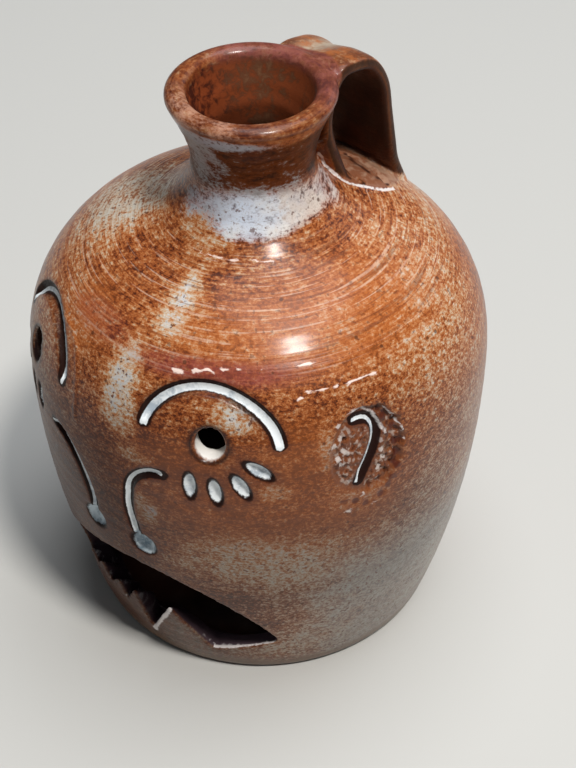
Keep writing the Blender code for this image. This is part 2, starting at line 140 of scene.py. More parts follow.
def ringed(points, wave, height, start=0.004, stop=0.1585):
    # finger rings: the wall swells and sinks a little along its length
    line = np.array(points)
    step = np.gradient(line, axis=0)
    length = np.concatenate([[0], np.cumsum(np.hypot(*np.diff(line, axis=0).T))])
    normal = np.stack([step[:, 1], -step[:, 0]], axis=1)
    normal /= np.linalg.norm(normal, axis=1)[:, None]
    length *= 2 * pi / wave
    swell = height * (np.sin(length) + 0.5 * np.sin(length / 0.41 + 1))
    swell *= (line[:, 1] > start) & (line[:, 1] < stop) & (line[:, 0] > 0.004)
    return line + normal * swell[:, None]


skin = np.array(outside)
profile = list(map(tuple, ringed(outside, *outer_rings))) + rolled
profile += list(map(tuple, ringed(inside, *inner_rings, start=0.01, stop=0.125)))
bpy.ops.curve.primitive_nurbs_path_add()
line = bpy.context.object.data.splines[0]
line.type = "POLY"
line.points.add(len(profile) - len(line.points))
for point, (radius, height) in zip(line.points, profile):
    point.co = (radius, 0, height, 1)
bpy.ops.object.convert(target="MESH")
body = bpy.context.object
body.name = "jug_ware"
mode = bpy.ops.object.mode_set


def opened():
    # opens the mesh for work with every point picked
    mode(mode="EDIT")
    bpy.ops.mesh.select_all(action="SELECT")


opened()
bpy.ops.mesh.spin(steps=wheel_turns, angle=2 * pi, center=(0, 0, 0), axis=(0, 0, 1))


def welded(gap):
    # joins the points that meet and turns every face outwards
    opened()
    bpy.ops.mesh.remove_doubles(threshold=gap)
    bpy.ops.mesh.normals_make_consistent(inside=False)
    mode(mode="OBJECT")


welded(0.00002)


def place(turn, height, radius):
    # the face looks along -Y; turn is counted from there, towards +X, in degrees
    angle = radians(turn)
    return Vector((radius * sin(angle), -radius * cos(angle), height))


def joined(pieces):
    # makes one object of several, under the first one's name
    bpy.ops.object.select_all(action="DESELECT")
    for piece in pieces:
        piece.select_set(True)
    bpy.context.view_layer.objects.active = pieces[0]
    if len(pieces) > 1:
        bpy.ops.object.join()
    return pieces[0]


def worked(piece, kind, **settings):
    # lets one modifier shape the piece for good
    modifier = piece.modifiers.new(kind, kind)
    for name, value in settings.items():
        setattr(modifier, name, value)
    bpy.ops.object.modifier_apply(modifier=kind)


def cut(target, tools, name):
    # takes the shape of the tools out of the target
    tool = joined(tools)
    tool.name = name
    welded(0.00001)
    joined([target])
    worked(target, "BOOLEAN", operation="DIFFERENCE", solver="MANIFOLD", object=tool)
    bpy.data.objects.remove(tool)


# The mouth: while the clay was leather hard, a knife went straight through the wall along an arched
# upper lip and round pointed lower teeth, which thin out towards their points. Its left end is blunt.
mouth_corners = ((-37.0, 0.012), (44.4, 0.0164))
mouth_middle = 4.0
mouth_top = 0.0445
mouth_arches = (1.2, 2.2)
mouth_ends = (0.3, 0.9)
lip_height = 0.0085
jaw_lift = 0.0082
teeth = ((-17.0, 0.0154), (-11.5, 0.0161), (-5.0, 0.0168), (1.5, 0.0194), (13.5, 0.0194))
tooth_spacing = 12.0
side_cuts = (0.25, 0.36)
notch_side = 0.14
tooth_lean = 0.84
knife_reach = 0.74
least_gap = 0.0012


def jaw(turn):
    # the lower lip climbs from the middle towards the left corner
    return lip_height + jaw_lift * max(0.0, turn / teeth[0][0])


lower = dict(mouth_corners)
for turn, tall in teeth:
    lower[turn] = jaw(turn) + tall
for (left, tall), (right, _) in zip(teeth, teeth[1:]):
    depth = min(1.0, (right - left) / tooth_spacing)
    lower[left + notch_side * (right - left)] = jaw(left) + tall * (1 - depth)
for (tooth, _), (end, _), share in zip((teeth[0], teeth[-1]), mouth_corners, side_cuts):
    lower[tooth + share * (end - tooth)] = lip_height + 0.001
turns = sorted(lower)
half = (mouth_corners[1][0] - mouth_corners[0][0]) / 2
even = [mouth_corners[0][0] + half * (1 - cos(a)) for a in np.linspace(0, pi, 76)[1:-1]]
stations = sorted(set(turns) | {turn for turn in even if min(abs(turn - other) for other in turns) > 0.4})
bottom = [(turn, float(np.interp(turn, turns, [lower[t] for t in turns]))) for turn in stations]
top = []
for turn, height in bottom:
    side = 0 if turn < mouth_middle else 1
    end, corner = mouth_corners[side]
    share = min(1.0, (turn - mouth_middle) / (end - mouth_middle))
    arch = (1 - share ** mouth_arches[side]) ** mouth_ends[side]
    top.append((turn, max(corner + least_gap + (mouth_top - corner) * arch, height + least_gap)))
outline = bottom + top[::-1]
bpy.ops.mesh.primitive_circle_add(vertices=len(outline), fill_type="NGON")
mouth = bpy.context.object
for vertex, (turn, height) in zip(mouth.data.vertices, outline):
    vertex.co = place(turn, height, wall_radius(height))
    if (turn, height) in bottom:
        vertex.co.z -= tooth_lean * max(0.0, height - lip_height)
        vertex.co.z = max(vertex.co.z, floor_thickness + least_gap)
    vertex.co.x *= knife_reach
    vertex.co.y *= knife_reach
opened()
bpy.ops.mesh.extrude_region_move()
mode(mode="OBJECT")
for vertex in mouth.data.vertices:
    if vertex.select:
        turn, height = outline[vertex.index % len(outline)]
        vertex.co = place(turn, height, wall_radius(height))
mode(mode="EDIT")
bpy.ops.mesh.extrude_region_move()
bpy.ops.transform.resize(value=(1.2, 1.2, 1), center_override=(0, 0, 0))
mode(mode="OBJECT")
cut(body, [mouth], "mouth_knife")

# The eyes: two holes cut through the shoulder with a small tube, their rims softened with a wet
# finger. The face was worked by hand, so its two halves differ a little.
eyes = ((-32.0, 0.0957), (29.5, 0.097))
eye_wide = 0.0078
eye_tall = 0.0088
eye_rim = 0.0007
rim_flare = 0.62
tube_long = 0.022


def facing(turn, lean=0.0):
    # local Z points out of the wall, local Y up, leaning by an angle about Z
    return Matrix.Rotation(radians(turn), 3, "Z") @ Matrix.Rotation(radians(90), 3, "X") @ \
        Matrix.Rotation(radians(lean), 3, "Z")


for name, shaped, lift, sizes in (
        ("eye_tube", bpy.ops.mesh.primitive_cylinder_add, 0.0, {"radius": 0.5, "depth": tube_long}),
        ("wet_finger", bpy.ops.mesh.primitive_cone_add, eye_rim,
         {"radius1": 0.5, "radius2": rim_flare, "depth": 4 * eye_rim})):
    tools = []
    for turn, height in eyes:
        shaped(vertices=48, location=place(turn, height, wall_radius(height) + lift), **sizes)
        tool = bpy.context.object
        tool.rotation_euler = facing(turn).to_euler()
        tool.scale = (eye_wide, eye_tall, 1)
        tools.append(tool)
    cut(body, tools, name)

# The brows, the sides of the nose and the hooks in the ears: grooves pressed in with a round-nosed
# tool and drawn out at the ends. The drops under the eyes and the nostrils are pressed with its tip.
brow_width = 0.0036
brow_height = 0.098
brows = ((29.4, 16.7, 0.0118, 0.0012), (-30.2, 15.4, 0.0106, 0.0016))
wing_width = 0.003
hook_width = 0.0031
drop_length = 0.0092
drop_width = 0.0037
drop_depth = 0.0019
drop_reach = 0.014
drops = ((-22.0, 2.0), (5.5, 10.0), (34.0, 28.0), (62.0, 54.0))
nostrils = ((-5.4, 0.0556), (10.3, 0.0556))
nostril_long = 0.0076
nostril_wide = 0.0074
nostril_deep = 0.0023
nostril_lean = 48.0
ear_turn = 67.3
ear_height = 0.09


def furrow(track, width, sink=0.0):
    # a round bar laid along the skin, thinner at both ends
    bpy.ops.curve.primitive_nurbs_path_add()
    bar = bpy.context.object
    spline = bar.data.splines[0]
    spline.type = "POLY"
    spline.points.add(len(track) - len(spline.points))
    last = len(track) - 1
    for k, (turn, height) in enumerate(track):
        share = min(k, last - k) / last
        spline.points[k].co = (*place(turn, height, wall_radius(height) - sink), 1)
        spline.points[k].radius = min(1.0, 0.5 + 5.0 * share)
    bar.data.bevel_depth = width / 2
    bar.data.bevel_resolution = 5
    bar.data.use_fill_caps = True
    bpy.ops.object.convert(target="MESH")
    return bpy.context.object


def press(turn, height, long, wide, deep, lean):
    # a dent as long, wide and deep as given, leaning by an angle
    bpy.ops.mesh.primitive_uv_sphere_add(segments=28, ring_count=16, radius=0.5,
                                         location=place(turn, height, wall_radius(height)))
    ball = bpy.context.object
    ball.rotation_euler = facing(turn, lean).to_euler()
    ball.scale = (wide, long, 2 * deep)
    return ball


tracks = []
presses = []
arc = np.linspace(0.02, 0.98, 29) * pi
quarter = np.linspace(0, pi / 2, 14)
for middle, half, rise, tilt in brows:
    tracks.append(([(middle - half * cos(a), brow_height + rise * sin(a) + tilt * cos(a))
                    for a in arc], brow_width))
wing = [(9.4 - 1.8 * sin(0.75 * pi * t), 0.0585 + 0.016 * t) for t in np.linspace(0, 1, 12)]
wing += [(8.1 + 10.2 * (1 - cos(a)), 0.0745 + 0.0112 * sin(a)) for a in quarter[1:]]
tracks.append((wing, wing_width))
tracks.append(([(-4.8 - 13.4 * (1 - cos(a)), 0.059 + 0.0228 * sin(a)) for a in quarter],
               wing_width))
for side in (-1, 1):
    hook = []
    for t in np.linspace(0, 1, 25):
        swing = 5.6 * (sin(pi * t ** 0.6) - 0.62)
        hook.append((side * (ear_turn + swing + 0.7), ear_height + 0.0099 - 0.0184 * t ** 1.2))
    tracks.append((hook, hook_width))
cut(body, [furrow(track, width) for track, width in tracks], "round_tool")
for side, (eye, height) in zip((-1, 1), eyes):
    for swing, lean in drops:
        angle = radians(swing)
        turn = eye + side * degrees(drop_reach * sin(angle) / belly_radius)
        presses.append((turn, height - drop_reach * cos(angle), drop_length, drop_width, drop_depth,
                        side * lean))
for side, (turn, height) in zip((-1, 1), nostrils):
    presses.append((turn, height, nostril_long, nostril_wide, nostril_deep, side * nostril_lean))
cut(body, [press(*values) for values in presses], "tool_tip")

# The strap handle: a band of clay pulled with two lengthwise ridges, stuck up the back of the neck,
# bent over above the rim and down to the shoulder, where a smear of clay holds its foot.
handle_turn = 175.0
handle_reach = 0.0386
handle_crest = 0.027
handle_foot = 0.0455
strap_width = 0.024
strap_foot_width = 0.0212
leg_width = 0.0206
strap_thickness = 0.0042
strap_tilt = 0.0014
foot_sink = 0.003
foot_spread = 0.36
valley_at = 0.22
valley_wide = 0.26
valley_deep = 0.5
ridge_high = 1.18
strap_points = 48
foot_height = shoulder_height(handle_foot)
loop = rim_height - foot_height
splay = handle_foot - handle_reach
taper = strap_foot_width - strap_width
keys = [
    (waist_radius + 0.0084, crown_height - 0.003, leg_width),
    (waist_radius + 0.0019, waist_height, leg_width),
    (rim_radius - 0.0038, rim_height - 0.009, 0.4 * leg_width + 0.6 * strap_width),
    (rim_radius - 0.0008, rim_height - 0.0032, strap_width),
    (handle_crest, rim_height - 0.0034, strap_width),
    (0.83 * handle_reach, rim_height - 0.125 * loop, strap_width),
    (0.945 * handle_reach, rim_height - 0.28 * loop, strap_width + 0.1 * taper),
    (handle_reach, rim_height - 0.49 * loop, strap_width + 0.4 * taper),
    (handle_reach + 0.32 * splay, rim_height - 0.71 * loop, strap_width + 0.7 * taper),
    (handle_reach + 0.57 * splay, rim_height - 0.87 * loop, strap_width + 0.9 * taper),
    (handle_foot + 0.4 * foot_sink, foot_height - foot_sink, strap_foot_width),
]
path = []
for k in range(len(keys) - 1):
    a, b, c, d = (np.array(keys[max(0, k - 1)]), np.array(keys[k]), np.array(keys[k + 1]),
                  np.array(keys[min(len(keys) - 1, k + 2)]))
    for t in np.linspace(0, 1, 8, endpoint=False):
        path.append(tuple(0.5 * (2 * b + (c - a) * t + (2 * a - 5 * b + 4 * c - d) * t * t
                                 + (3 * b - a - 3 * c + d) * t ** 3)))
path.append(keys[-1])
leaning = []
for k in range(len(path)):
    ahead = path[min(len(path) - 1, k + 1)]
    behind = path[max(0, k - 1)]
    leaning.append(atan2(ahead[0] - behind[0], ahead[1] - behind[1]))
leaning = list(np.unwrap(leaning))
radius, height, width = path[0]
bpy.ops.mesh.primitive_circle_add(vertices=strap_points, fill_type="NGON", location=(radius, 0, height))
handle = bpy.context.object
bpy.ops.object.transform_apply(location=False)
for vertex in handle.data.vertices:
    angle = 2 * pi * vertex.index / strap_points
    across = copysign(abs(sin(angle)) ** 0.62, sin(angle))
    thick = cos(angle) / max(0.35, abs(cos(angle))) ** 0.55
    ridged = 0.95
    if thick > 0:
        ridged = ridge_high - valley_deep * exp(-((across + valley_at) / valley_wide) ** 2)
    vertex.co = (-thick * ridged * strap_thickness / 2, -across * width / 2, 0)
    vertex.co = Matrix.Rotation(leaning[0], 3, "Y") @ vertex.co
bpy.ops.object.transform_apply(location=True)
opened()
for k in range(1, len(path)):
    step = Vector((path[k][0] - path[k - 1][0], 0, path[k][1] - path[k - 1][1]))
    centre = (path[k][0], 0, path[k][1])
    bpy.ops.mesh.extrude_region_move(TRANSFORM_OT_translate={"value": step})
    bpy.ops.transform.rotate(value=leaning[k - 1] - leaning[k], orient_axis="Y", center_override=centre)
    bpy.ops.transform.resize(value=(1, path[k][2] / path[k - 1][2], 1), center_override=centre)
bpy.ops.mesh.select_all(action="SELECT")
bpy.ops.mesh.normals_make_consistent(inside=False)
mode(mode="OBJECT")
for vertex in handle.data.vertices:
    lift = max(0.0, (vertex.co.z - foot_height) / loop)
    vertex.co.z -= strap_tilt * lift * vertex.co.y / (strap_width / 2)
    if vertex.co.x > 0.03 and vertex.co.y > 0:
        vertex.co.y *= 1 + foot_spread * min(1.0, max(0.0, (0.139 - vertex.co.z) / 0.016))
handle.rotation_euler.z = radians(handle_turn - 90)
bpy.ops.object.transform_apply(location=False)

# The foot of the strap: clay smeared over the shoulder with the thumb, left with a square edge and
# two creases, and fused with the pot in the firing.
pad_out = 0.033
pad_long = 0.0142
pad_wide = 0.0162
pad_rise = 0.0015
clay_grain = 0.0006
bpy.ops.mesh.primitive_uv_sphere_add(segments=72, ring_count=36, radius=1)
pad = bpy.context.object
for vertex in pad.data.vertices:
    out = pad_out + pad_long * vertex.co.x
    across = pad_wide * vertex.co.y
    rise = copysign(pad_rise * abs(vertex.co.z) ** 0.5, vertex.co.z)
    vertex.co = (out, across, shoulder_height(hypot(out, across)) + rise)
pad.rotation_euler.z = radians(handle_turn - 90)
bpy.ops.object.transform_apply(location=False)
joined([body, handle, pad])
worked(body, "REMESH", mode="VOXEL", voxel_size=clay_grain)
worked(body, "SMOOTH", factor=0.5, iterations=3)

# The small relief of the clay: ears stamped with the chewed end of a stick, finger ridges in the
# throat, creases by the handle and a pulled line beside the left brow.
ear_wide = 0.0108
ear_tall = 0.0128
ear_floor = 0.0011
throat_ridge = 0.0001
ridge_apart = 0.0052
pulled_rise = 0.0003
pulled_wide = 0.0006
pulled_line = ((-24, 109.5), (-19, 109), (-13.5, 107), (-10, 102), (-8.6, 96), (-8.3, 90))
crease_wide = 0.0006
most_triangles = 196000


def points_of(mesh, name="co"):
    values = np.empty(len(mesh.vertices) * 3, np.float32)
    mesh.vertices.foreach_get(name, values)
    return values.reshape(-1, 3).astype(float)


def ease(value):
    value = np.clip(value, 0, 1)
    return value * value * (3 - 2 * value)


def around(spots):
    # turn from the face in degrees, height and radius of every point
    turn = np.degrees(np.arctan2(spots[:, 0], -spots[:, 1]))
    return turn, spots[:, 2], np.hypot(spots[:, 0], spots[:, 1])


def under_skin(height, radius):
    # how far a point lies below the turned outside, in metres
    side = np.interp(height, skin[2:, 1], skin[2:, 0]) - radius
    share = np.clip(radius / belly_radius, 0, 1)
    rise = (1 - share ** shoulder_power) ** (1 / shoulder_power)
    over = belly_height + (crown_height - belly_height) * rise
    on_top = (height > belly_height) & (height < crown_height - 0.001) & (radius > neck_root_radius)
    return np.where(on_top & (np.abs(over - height) < np.abs(side)), over - height, side)


def near_line(at, line, gap=0.0003):
    # distance of every point from a line, in metres
    length = np.concatenate([[0], np.cumsum(np.linalg.norm(np.diff(line, axis=0), axis=1))])
    steps = np.arange(0, length[-1], gap)
    line = np.stack([np.interp(steps, length, line[:, k]) for k in range(line.shape[1])], axis=1)
    near = np.full(len(at), 1.0)
    for spot in line:
        np.minimum(near, ((at - spot) ** 2).sum(axis=1), out=near)
    return np.sqrt(near)


def on_wall(turn, height):
    # points laid on the turned outside
    edge = np.interp(height, skin[2:, 1], skin[2:, 0])
    angle = np.radians(turn)
    return np.stack([edge * np.sin(angle), -edge * np.cos(angle), height], axis=1)


def laid(bead, side=1):
    # a line on the turned outside from its turns in degrees and heights in millimetres
    turn, height = np.array(bead).T
    return on_wall(side * turn, height / 1000)


def beside_handle(spots):
    # distance out along the handle's own line and across it
    along = radians(handle_turn)
    return (spots[:, 0] * sin(along) - spots[:, 1] * cos(along),
            -spots[:, 0] * cos(along) - spots[:, 1] * sin(along))


def surveyed():
    # points and normals of the jug, their turn, height and radius, and how deep they lie
    spots = points_of(mesh)
    turn, height, radius = around(spots)
    return spots, points_of(mesh, "normal"), turn, height, radius, under_skin(height, radius)


mesh = body.data
spots, normals, turn, height, radius, depth = surveyed()
outer = (depth < 0.0036) & (height < 0.13) & (height > 0.002)
push = np.zeros(len(spots))
in_throat = (height > 0.122) & (height < 0.158) & (radius < 0.0185) & (depth > 0.002)
ridges = np.sin(2 * pi * (height / ridge_apart + turn / 360) + 0.6 * np.sin(np.radians(3 * turn)))
push += in_throat * throat_ridge * ease((0.158 - height) / 0.006) * ridges
picked = outer & (turn < -2) & (turn > -30) & (height > 0.084) & (height < 0.114)
near = near_line(spots[picked], laid(pulled_line))
push[picked] += pulled_rise * np.exp(-(near / pulled_wide) ** 2)


def from_ear(side):
    # distance of every point from an ear's middle, as a share of the ear's size
    return np.hypot(np.radians(turn - side * ear_turn) * radius / ear_wide, (height - ear_height) / ear_tall)


def stamped(side, picked):
    # depth of the ear's stamp, and how far each point lies above its floor
    a = np.radians(turn[picked] - side * ear_turn) * radius[picked] * side
    u = height[picked] - ear_height
    lobes = 1 + 0.04 * np.cos(11 * np.arctan2(u, a)) * ease((a + 0.002) / 0.006)
    n = np.hypot(a / ear_wide, u / ear_tall) / lobes
    floor = (ear_floor + 0.0007 * a / ear_wide + 0.00022 * u / ear_tall) * ease((1.0 - n) / 0.07)
    dip = floor.copy()
    for ring, count, first, last, size, deep in ((0.88, 10, -88, 62, 0.0011, 0.0009),
                                                 (0.58, 6, -80, 40, 0.001, 0.0007),
                                                 (1.24, 3, -108, -74, 0.002, 0.0005)):
        for angle in np.radians(np.linspace(first, last, count)):
            da = a - ring * ear_wide * cos(angle)
            du = u - ring * ear_tall * sin(angle)
            dip += deep * np.exp(-(da * da + du * du) / (0.62 * size) ** 2)
    hook, _ = tracks[-1 if side > 0 else -2]
    hook = on_wall(*np.array(hook).T)
    clear = ease((near_line(on_wall(turn[picked], height[picked]), hook) - 0.0019) / 0.0008)
    grain = np.array([noise.noise(Vector((spots[k] * 860.0).tolist())) for k in picked])
    dip -= 0.00042 * np.clip(3.0 * grain, -1, 1) * ease((0.97 - n) / 0.15) * clear
    return dip, (floor - dip) * 1000, n


ear_spots = [np.flatnonzero(outer & (from_ear(side) < 1.6)) for side in (-1, 1)]
for side, picked in zip((-1, 1), ear_spots):
    dip = stamped(side, picked)[0]
    spots[picked, :2] *= (1 - dip / radius[picked])[:, None]
out, beside = beside_handle(spots)
on_pad = (height > 0.117) & (height < 0.13) & (out > 0.015) & (np.abs(beside) < 0.022)
lifted = on_pad & (normals[:, 2] > 0.3)
flat = np.stack([out[lifted], beside[lifted]], axis=1)
for crease, deep in ((((0.03, 0.002), (0.0285, 0.007), (0.0268, 0.0118)), 0.0008),
                     (((0.033, -0.004), (0.0366, 0.001), (0.036, 0.0092), (0.0345, 0.015)), 0.0009)):
    push[lifted] -= deep * np.exp(-(near_line(flat, np.array(crease)) / crease_wide) ** 2)
spots += normals * push[:, None]
mesh.vertices.foreach_set("co", spots.astype(np.float32).ravel())
mesh.update()
worked(body, "DECIMATE", ratio=min(1.0, most_triangles / (2 * len(mesh.polygons))))
bpy.ops.object.shade_smooth()

# The glaze: an ash and iron glaze brushed on and fired in wood smoke. It broke from dark rust over
# orange to tan where it lay thin, ran milky blue where it lay thick, and pooled pale in every cut
# between dark edges. Painted light is mixed into its colour too: painted shade low on the body, on
# the left, in the throat and on the cuts' upper walls, and painted highlights and reflections on edges,
# ridges, pools and the lip.
# dark glaze and painted shade, for the dark edges of the cuts, the eye rims and the left eye's bore
dark_glaze_and_shade = (16, 7, 6)
# pale glaze with painted reflection, for the pools in the grooves
pool_glaze_and_reflection = (840, 880, 900)
# painted light on the lower wall of the right eye's hole
socket_light_cream = (900, 870, 820)
milk_blue = (680, 770, 900)
plum = (260, 50, 50)
iron = (75, 24, 10)
rust_steps = (
    (0.05, (75, 18, 8)), (0.2, (215, 50, 13)), (0.36, (370, 105, 26)),
    (0.5, (470, 190, 70)), (0.64, (540, 330, 190)), (0.8, (580, 465, 350)),
    (0.95, (620, 590, 545)))
neck_low = (0.1385, 0.1425)
# painted lines along the edges of the mouth and ears: pale glaze on the edge with a painted highlight
mouth_edges = (
    (((3.2, 7.6), (8.6, 17.2), (13.9, 26.8)), 0.7, 1.4, 1),
    (((14.4, 26.2), (24.4, 10.2)), 0.3, 0.45, 1),
    (((25, 9.6), (31, 11.8), (37, 13.9), (43.6, 16.2)), 0.6, 1.4, 0.985),
    (((24.6, 9.5), (21, 15)), 0.4, 0.7, 0.97),
    (((-4.6, 19), (1.4, 27.6)), 0.5, 0.7, 1),
    (((-11.2, 22), (-5.2, 27.5)), 0.5, 0.8, 1),
    (((-36, 15), (-34, 19)), 1, 0.8, 1))
ear_edges = (
    (((62.8, 102.5), (66.8, 102.3), (69.9, 99.6), (71.6, 95.8), (72.8, 92.5)), 0.7, 0.75),
    (((73.2, 99.8), (74.9, 97.5), (76.1, 94.7), (77, 92.6), (77.2, 89)), 0.3, 1))
ear_dents = (
    (74.9, 93.7), (75.2, 88.9), (75.2, 85), (75, 81.9), (73.5, 78.8), (72.5, 76.6), (70.4, 74.3),
    (66.4, 73), (63.8, 75), (60.9, 76.3), (72.6, 97.5))
# small painted highlights on the blobs in the ears
ear_glint_spots = (
    (60.4, 99.8), (60.7, 96.2), (58.9, 94.5), (61, 92.5), (61.8, 91.5), (59.6, 90.5), (71.1, 91.3),
    (71, 88.7), (71.7, 85.8), (70.2, 82.8), (69.7, 79.6), (60.4, 88.5), (62.4, 82.2), (65.4, 76.8),
    (62.2, 72.2), (68.6, 71.6))
# painted highlight lines along the thrown ridges of the shoulder and the neck root
ridge_highlight_paths = (
    (((18, 111.6), (25.1, 112.7), (32.3, 113.4), (45.3, 113.8), (51.2, 113.8), (57.8, 113.4)), 0.3, 1),
    (((52, 108), (55.6, 108.7), (60.7, 109.3), (66, 109.8)), 0.22, 1),
    (((50.2, 106.7), (52, 107.5), (53.7, 108.7), (59.8, 108.7), (73.1, 108.6)), 0.22, 1),
    (((7, 127.3), (23, 127.2), (42, 127.2), (60, 127.1)), 0.3, 0.7))
pad_edge = (
    (154.6, 18.3, 136.8), (152.8, 19.8, 133), (149.8, 22.1, 130.3), (149.2, 23.8, 128.3),
    (148.8, 26.8, 126.3), (147, 31.7, 124.4), (147.4, 35.2, 122.9), (150.1, 39.1, 121.1))
inner_crease = ((147.6, 22.1, 137.7), (150.6, 24.5, 132), (153.4, 27.1, 126.7))
outer_crease = (
    (177.6, 35.5, 123.7), (170.4, 33.7, 124.7), (162.7, 33.9, 124.6), (155.4, 35.3, 123.8),
    (152, 37.8, 121.9))

mesh = body.data
spots, normals, turn, height, radius, depth = surveyed()


def washed(*places):
    # soft patches: turn and height, half sizes in degrees and millimetres, strength in hundredths
    bare = np.ones(len(spots))
    for at, up, half_turn, half_height, strength in places:
        away = (turn - at + 180) % 360 - 180
        near = np.hypot(away / half_turn, (1000 * height - up) / half_height)
        bare *= 1 - strength / 100 * ease((1.35 - near) / 0.9)
    return 1 - bare


def traced(values, picked, at, edge, wide, strength=1.0):
    # a soft line, as wide as given in millimetres, painted along an edge
    shine = strength * np.exp(-(1000 * near_line(at, edge) / wide) ** 2)
    values[picked] = np.maximum(values[picked], shine)


veil = washed(
    (43, 56, 24, 12, 75), (78, 30, 34, 38, 55), (104, 85, 26, 42, 28), (15, 12, 60, 13, 45),
    (4, 105.5, 5, 10, 95), (7, 98, 4, 6, 70), (12, 120.5, 6, 5, 75), (98, 108, 22, 12, 20),
    (-35, 95, 24, 26, 35), (-62, 123, 26, 8, 60), (118, 118, 24, 10, 20), (38, 119.5, 22, 7, 12),
    (44, 83.5, 4, 3.5, 70), (57.5, 94, 2.5, 6, 70), (36, 104, 7, 3.8, 75), (13, 71, 4, 6, 80),
    (11, 89, 6, 2.5, 60), (66, 78, 9, 6, 40), (70, 91, 5, 7, 50), (-150, 70, 40, 35, 55),
    (175, 115, 40, 8, 50), (-95, 45, 30, 35, 40), (5, 131.5, 26, 4, 35), (68, 118.5, 9, 5, 30))
milky = washed(
    (44, 136.6, 64, 6.2, 100), (122, 134.5, 28, 6, 60), (-22, 134, 16, 5, 50), (-6, 149, 26, 8.5, 75),
    (12, 157.2, 52, 2.4, 100), (4, 105.5, 4, 8, 52), (12, 120, 4, 5, 40), (60, 134.5, 24, 3.4, 50),
    (40, 132.2, 36, 2.6, 50), (92, 135.2, 22, 4.6, 45), (14, 71, 3, 5, 50), (37, 104, 5, 2.5, 40),
    (200, 135, 50, 5, 60))
plummy = washed((30, 112.5, 26, 2.6, 85), (-12, 114, 14, 3, 40))
smoky = washed(
    (60, 20, 70, 40, 75), (98, 60, 26, 40, 70), (-20, 60, 30, 50, 55), (-70, 124, 28, 10, 80),
    (-100, 50, 50, 40, 50), (178, 50, 60, 45, 50), (-20, 144, 30, 8, 50))
glowing = washed(
    (67, 118, 44, 8, 90), (-18, 112, 12, 7, 80), (30, 118, 16, 5, 50), (52, 96, 10, 8, 60),
    (24, 92, 12, 6, 40), (60, 145, 48, 6, 60), (65, 72, 12, 6, 50), (-120, 115, 40, 8, 60),
    (150, 105, 30, 12, 50), (44, 80, 36, 20, 75), (120, 80, 30, 25, 40))

out, beside = beside_handle(spots)
line = np.array([(key[0], key[1]) for key in path])
behind = (np.abs(beside) < 0.014) & (out > 0.0165) & (height > 0.118)
near = near_line(np.stack([out[behind], height[behind]], axis=1), line, 0.0008)
strap = np.zeros(len(spots))
strap[behind] = ease((0.0042 - near) / 0.0008) * ease((-depth[behind] - 0.0008) / 0.001)
strap[behind] *= radius[behind] > np.interp(height[behind], skin[:, 1], skin[:, 0]) + 0.0006
way_in = np.stack([0.029 - out, 0.147 - height], axis=1)
way_in /= np.linalg.norm(way_in, axis=1)[:, None] + 1e-9
tilt_out, tilt_beside = beside_handle(normals)
facing_in = tilt_out * way_in[:, 0] + normals[:, 2] * way_in[:, 1]
shaded = strap * ease((facing_in + 0.1) / 0.4)
flank = strap * ease((np.abs(tilt_beside) - 0.5) / 0.3) * (1 - shaded)
valley = strap * np.exp(-((beside + 0.0026) / 0.0036) ** 2) * ease((height - 0.156) / 0.003) * (1 - shaded)

wall = np.interp(height, skin[2:, 1], skin[2:, 0])
below = np.where(height > 0.127, wall - radius, depth)
inner = ease((below - 0.0028) / 0.0015) * (height < 0.1605)
open_turn = (turn > mouth_corners[0][0] - 3) & (turn < mouth_corners[1][0] + 3)
cut_face = ease((depth - 0.0004) / 0.0006) * (open_turn & (height < 0.052) & (depth < 0.0075))
toothed = cut_face * ease((3.0 - turn) / 3.0) * ease((turn + 24.0) / 3.0)
lips = (height < 0.052) & open_turn & (depth < 0.004) & (depth > -0.002)
(lined, socket, ring, watery, heard, raised, dented, flecked, streaked, rimmed,
 creased) = np.zeros((11, len(spots)))
for bead, wide, strength, inset in mouth_edges:
    traced(lined, lips, spots[lips], laid(bead) * (inset, inset, 1), wide, strength)
for at, up in eyes:
    centre = place(at, up, 0.059)
    axis = np.array(place(at, 0.0, 1.0))
    gap = spots - np.array(centre)
    gap -= (gap @ axis)[:, None] * axis
    off = np.linalg.norm(gap, axis=1)
    level = (np.abs(depth) < 0.0062) & (spots @ axis > 0)
    rim = np.exp(-((off - 0.0049) / 0.0006) ** 2) * ease((0.0012 - depth) / 0.0006)
    ring += rim * (level & (off < 0.007))
    bore = level & (off < 0.0062)
    # the left eye's bore is painted dark as shade; the right eye's lower wall is painted cream as lit
    if at < 0:
        ring += ease((depth - 0.0003) / 0.0005) * bore
    else:
        lit = ease((up + 0.0008 - height) / 0.0016)
        socket += ease((depth - 0.0009) / 0.0006) * ease((0.0057 - depth) / 0.0006) * bore * lit
marked = np.full(len(spots), 9.0)
pooled = marked.copy()
front = ((depth < 0.0045) & (depth > -0.002) & (height > 0.045) & (height < 0.125)
         & (np.abs(turn) < 95))
flat = on_wall(turn[front], height[front])
